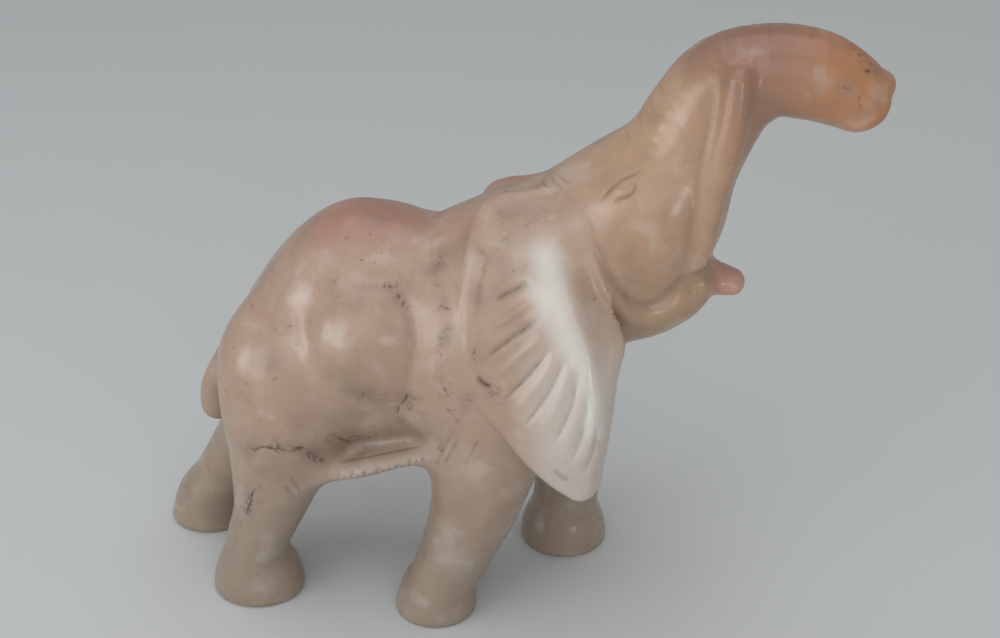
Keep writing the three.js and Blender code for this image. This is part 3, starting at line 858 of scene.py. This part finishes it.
SETTLINGS = 3
DIVISIONS = 2
HEAD_START = 84.0
ON_EAR = 0.05
NEAR_LINE = 4.0
BESIDE_MIDDLE = 5.0
FINE_LINES = EYE_LINES + NECK_LINES + TOOL_MARKS + LIP_WRINKLES + BOLD_CRACKS + CHIPS
FINE_LINES += [STRIP_TOP, STRIP_BOTTOM, TIP_RIM, FINGER_GROOVE]


def longest_wanted(p):
    """The longest edge wanted at each place, in millimetres."""
    pixels = photo_pixels(fold_over(p))
    out = np.where(p[:, 0] > HEAD_START, HEAD_DETAIL, BODY_DETAIL)
    out = np.where(ear_face(p) > ON_EAR, EAR_DETAIL, out) * LONGEST_EDGE
    near = np.min([along_line(pixels, line)[0] for line in FINE_LINES], axis=0)
    at_line = (near < NEAR_LINE) & (np.abs(p[:, 1]) > BESIDE_MIDDLE)
    return np.where(at_line, LINE_DETAIL * LONGEST_EDGE_AT_LINES, out)


def carved_points():
    """The carved surface: its points in the drawing, its triangles, and what the stone's look reads."""
    points, triangles = skin_of("elephant")
    for _ in range(SETTLINGS):
        points = settle(points)
    for _ in range(DIVISIONS):
        points, triangles = divide(points, triangles, longest_wanted)
        points = settle(points)
    depth, dirt_and_shade, cracked, strip, painted_sheen_and_pale_front = carve(points)
    points = points - depth[:, None] * normals_of(points, triangles)
    points[:, 2] = np.maximum(points[:, 2], 0.0)
    return points, triangles, {"dirt_and_shade": dirt_and_shade, "cracked": cracked, "strip": strip, "painted_sheen_and_pale_front": painted_sheen_and_pale_front}


def carved_elephant():
    points, triangles, marks = carved_points()
    mesh = bpy.data.meshes.new("carved_elephant")
    mesh.vertices.add(len(points))
    mesh.vertices.foreach_set("co", ((points + DRAWING_ORIGIN) * MM).ravel())
    mesh.loops.add(triangles.size)
    mesh.loops.foreach_set("vertex_index", triangles.ravel())
    mesh.polygons.add(len(triangles))
    mesh.polygons.foreach_set("loop_start", np.arange(len(triangles)) * 3)
    mesh.polygons.foreach_set("use_smooth", np.ones(len(triangles), bool))
    mesh.update(calc_edges=True)
    for name, values in marks.items():
        mesh.attributes.new(name, "FLOAT", "POINT").data.foreach_set("value", values)
    piece = bpy.data.objects.new("carved_elephant", mesh)
    bpy.context.scene.collection.objects.link(piece)
    return piece


# Shader maths: a wrapped socket that adds nodes for each sum

class Value:
    """A socket that can be added to, multiplied and so on, which adds a node each time."""

    def __init__(self, tree, socket):
        self.tree = tree
        self.socket = socket

    def maths(self, operation, *others):
        return self.tree.node("ShaderNodeMath", {"operation": operation}, [self, *others])

    def __add__(self, other):
        return self.maths("ADD", other)

    def __sub__(self, other):
        return self.maths("SUBTRACT", other)

    def __rsub__(self, other):
        return self.tree.node("ShaderNodeMath", {"operation": "SUBTRACT"}, [other, self])

    def __mul__(self, other):
        return self.maths("MULTIPLY", other)

    __radd__ = __add__

    def clamped(self):
        return self.tree.node("ShaderNodeClamp", {}, [self, 0.0, 1.0])

    def between(self, low, high):
        """0 at low, 1 at high, smooth in between."""
        settings = {"interpolation_type": "SMOOTHSTEP"}
        sockets = {"Value": self, "From Min": low, "From Max": high}
        return self.tree.node("ShaderNodeMapRange", settings, sockets)


class Tree:
    """A material with one shader, and short ways of adding nodes to it."""

    def __init__(self, name):
        self.material = bpy.data.materials.new(name)
        self.material.use_nodes = True
        self.nodes = self.material.node_tree.nodes
        self.links = self.material.node_tree.links
        self.shader = self.nodes["Principled BSDF"]

    def node(self, kind, settings, sockets, output=0):
        """Adds a node, makes its settings, then fills its sockets with numbers, colours or links."""
        made = self.nodes.new(kind)
        for key, value in settings.items():
            setattr(made, key, value)
        pairs = sockets.items() if isinstance(sockets, dict) else enumerate(sockets)
        for key, value in pairs:
            if isinstance(value, Value):
                self.links.new(value.socket, made.inputs[key])
            else:
                made.inputs[key].default_value = value
        return Value(self, made.outputs[output])

    def noise(self, place, scale, detail=4.0, distortion=0.0, roughness=0.5):
        sockets = {"Vector": place, "Scale": scale, "Detail": detail}
        sockets.update({"Roughness": roughness, "Distortion": distortion})
        return self.node("ShaderNodeTexNoise", {}, sockets)

    def mix(self, factor, first, second):
        """One colour over another. The node keeps its colours in sockets 6 and 7, and gives one in 2."""
        return self.node("ShaderNodeMix", {"data_type": "RGBA"}, {0: factor, 6: first, 7: second}, 2)

    def part_of(self, vector, axis):
        return self.node("ShaderNodeSeparateXYZ", {}, [vector], axis)

    def attribute(self, name):
        """A number carried by the mesh, which the node gives at its third socket."""
        return self.node("ShaderNodeAttribute", {"attribute_name": name}, {}, 2)

    def feed(self, socket, value):
        if isinstance(value, Value):
            self.links.new(value.socket, self.shader.inputs[socket])
        else:
            self.shader.inputs[socket].default_value = value


def linear(red, green, blue):
    """A colour given as the eye reads it, 0 to 255, made linear for the shader."""
    def one(value):
        value /= 255
        return value / 12.92 if value <= 0.04045 else ((value + 0.055) / 1.055) ** 2.4
    return (one(red), one(green), one(blue), 1.0)


CREAM = linear(148, 131, 115)
TAN = linear(172, 144, 125)
BUFF = linear(176, 143, 116)
OLIVE = linear(158, 137, 106)
SALMON = linear(160, 116, 92)
ROSE = linear(170, 120, 106)
PINK = linear(196, 136, 126)
RUSSET = linear(140, 98, 84)
ORANGE_BROWN = linear(178, 124, 84)
GREY_BROWN = linear(132, 110, 97)
# A bluish white: the ear's painted sheen, pale patches in the stone and the strip's lighter tone
PALE = linear(220, 221, 217)
PURPLE_GREY = linear(116, 92, 90)
DARK_BROWN = linear(70, 46, 34)


def painted_zones(tree, place, cloud, mottle):
    """The stone's own colour: cream feet, a tan body, a pink back and crown, and a brown trunk tip.

    The places where a zone begins and ends are in metres, and the noise makes its edge uneven."""
    forward = tree.part_of(place, 0)
    height = tree.part_of(place, 2)
    drift = cloud - 0.5
    colour = tree.mix((height + drift * 0.10).between(0.01, 0.15), CREAM, TAN)
    back = (height + forward * -0.1 + drift * 0.03).between(0.184, 0.202) * forward.between(0.005, -0.03)
    colour = tree.mix(back * 0.85, colour, ROSE)
    left_ear_top = tree.part_of(place, 1).between(0.004, 0.014) * height.between(0.186, 0.2)
    colour = tree.mix(left_ear_top * forward.between(0.05, 0.04) * 0.6, colour, ROSE)
    head = (forward + height * 0.3 + drift * 0.04).between(0.095, 0.13)
    colour = tree.mix(head, colour, BUFF)
    curl = (forward + height * 0.3 + drift * 0.06).between(0.155, 0.195)
    colour = tree.mix(curl * 0.9, colour, SALMON)
    trunk_top = (height + drift * 0.03).between(0.262, 0.280)
    colour = tree.mix(trunk_top * 0.75, colour, RUSSET)
    tip = (forward + height * 0.2 + (mottle - 0.5) * 0.03).between(0.170, 0.205)
    colour = tree.mix(tip * 0.85, colour, ORANGE_BROWN)
    tongue = forward.between(0.098, 0.103) * height.between(0.182, 0.178)
    return tree.mix(tongue * 0.8, colour, PINK)


def fine_lines(tree, place, scale, width):
    """Thin wandering lines, where a cloudy noise passes its middle value."""
    noise = tree.noise(place, scale, 5.0, 0.0, 0.62)
    return 1 - (noise - 0.5).maths("ABSOLUTE").between(0.0, width)


def polished_stone():
    tree = Tree("polished_stone")
    place = tree.node("ShaderNodeTexCoord", {}, {}, 3)
    cloud = tree.noise(place, 14.0, 3.0, 0.6)
    mottle = tree.noise(place, 55.0, 5.0, 0.4)
    grain = tree.noise(place, 420.0, 4.0)
    dirt_and_shade = tree.attribute("dirt_and_shade")
    cracked = tree.attribute("cracked")
    strip = tree.attribute("strip")

    colour = painted_zones(tree, place, cloud, mottle)
    colour = tree.mix(cloud.between(0.5, 0.66) * 0.3, colour, OLIVE)
    colour = tree.mix(mottle.between(0.48, 0.72) * 0.4, colour, GREY_BROWN)
    colour = tree.mix((1 - mottle.between(0.3, 0.48)) * 0.14, colour, PALE)
    colour = tree.mix(tree.noise(place, 130.0, 3.0).between(0.52, 0.7) * 0.14, colour, GREY_BROWN)

    broken = tree.noise(place, 170.0, 2.0).between(0.44, 0.56)
    crack = fine_lines(tree, place, 62.0, 0.018) * cracked * broken
    haze = cracked * mottle.between(0.35, 0.7)
    colour = tree.mix(haze * 0.4, colour, PURPLE_GREY)
    colour = tree.mix(crack * 0.75, colour, DARK_BROWN)

    fleck_patch = tree.noise(place, 18.0, 2.0).between(0.48, 0.66)
    flecks = tree.noise(place, 330.0, 2.0).between(0.68, 0.74) * fleck_patch
    colour = tree.mix(flecks * 0.5, colour, DARK_BROWN)
    # Dirt in the cuts and cracks, with painted shade beside the tusk and along the belly's crease, all in
    # dark brown
    colour = tree.mix((dirt_and_shade * (0.3 + mottle * 0.7)).clamped(), colour, DARK_BROWN)
    colour = tree.mix(strip * 0.08, colour, PALE)
    # The ear's painted sheen, a painted reflection, and its paler lower front
    colour = tree.mix(tree.attribute("painted_sheen_and_pale_front") * (0.4 + mottle * 0.46), colour, PALE)

    tree.feed("Base Color", colour)
    worn = cracked * 0.2 + crack * 0.2 + dirt_and_shade * 0.3 + strip * 0.22
    tree.feed("Roughness", 0.26 + (mottle - 0.5) * 0.14 + worn)
    bump = tree.node("ShaderNodeBump", {}, {
        "Strength": 0.16,
        "Distance": 0.0006,
        "Height": grain * 0.3 + mottle * 0.8 - crack * 0.7 - flecks * 0.8,
    })
    tree.feed("Normal", bump)
    tree.feed("IOR", 1.52)
    tree.feed("Subsurface Weight", 0.10)
    tree.feed("Subsurface Radius", (0.006, 0.004, 0.003))
    tree.feed("Subsurface Scale", 1.0)
    return tree.material


def pale_floor():
    tree = Tree("pale_floor")
    tree.feed("Base Color", (0.62, 0.63, 0.63, 1.0))
    tree.feed("Roughness", 0.7)
    return tree.material


# Each lamp: its name, its place, the height it looks at, its size, its power in watts and its colour

WINDOW_LIGHT = (0.94, 0.98, 1.0)
WHITE = (1.0, 1.0, 1.0)
WARM_WHITE = (1.0, 0.99, 0.97)
LAMPS = [
    ("side_window", (-1.35, -0.75, 0.32), 0.13, (0.4, 0.6), 3.5, WINDOW_LIGHT),
    ("front_window", (-0.95, -1.2, 0.45), 0.13, (0.6, 0.9), 5.0, WINDOW_LIGHT),
    ("room", (0.3, -2.2, 1.2), 0.13, (2.4, 1.8), 13.0, WHITE),
    ("ceiling", (0.0, -0.2, 1.8), 0.1, (1.8, 1.8), 11.0, WHITE),
    ("small_lamp", (0.85, -1.2, 0.22), 0.14, (0.06, 0.08), 1.2, WARM_WHITE),
]
SKY_COLOUR = (0.75, 0.78, 0.8, 1.0)
SKY_STRENGTH = 0.46
FLOOR_HALF = 12.0


def add_lamp(name, place, target_height, size, power, colour):
    data = bpy.data.lights.new(name, "AREA")
    data.shape = "RECTANGLE"
    data.size, data.size_y = size
    data.energy = power
    data.color = colour
    lamp = bpy.data.objects.new(name, data)
    bpy.context.scene.collection.objects.link(lamp)
    turn = (Vector(place) - Vector((0, 0, target_height))).to_track_quat("Z", "Y").to_matrix().to_4x4()
    lamp.matrix_world = Matrix.Translation(place) @ turn


def add_floor():
    mesh = bpy.data.meshes.new("floor")
    half = FLOOR_HALF
    corners = [(-half, -half, 0), (half, -half, 0), (half, half, 0), (-half, half, 0)]
    mesh.from_pydata(corners, [], [(0, 1, 2, 3)])
    mesh.materials.append(pale_floor())
    floor = bpy.data.objects.new("floor", mesh)
    bpy.context.scene.collection.objects.link(floor)


def add_studio():
    add_floor()
    for row in LAMPS:
        add_lamp(*row)
    world = bpy.data.worlds.new("studio")
    world.use_nodes = True
    background = world.node_tree.nodes["Background"].inputs
    background["Color"].default_value = SKY_COLOUR
    background["Strength"].default_value = SKY_STRENGTH
    bpy.context.scene.world = world
    bpy.context.scene.view_settings.view_transform = "Standard"


def dress_elephant():
    piece = carved_elephant()
    piece.data.materials.append(polished_stone())
    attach(piece, "root")
    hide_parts("elephant")


add_camera()
dress_elephant()
add_studio()
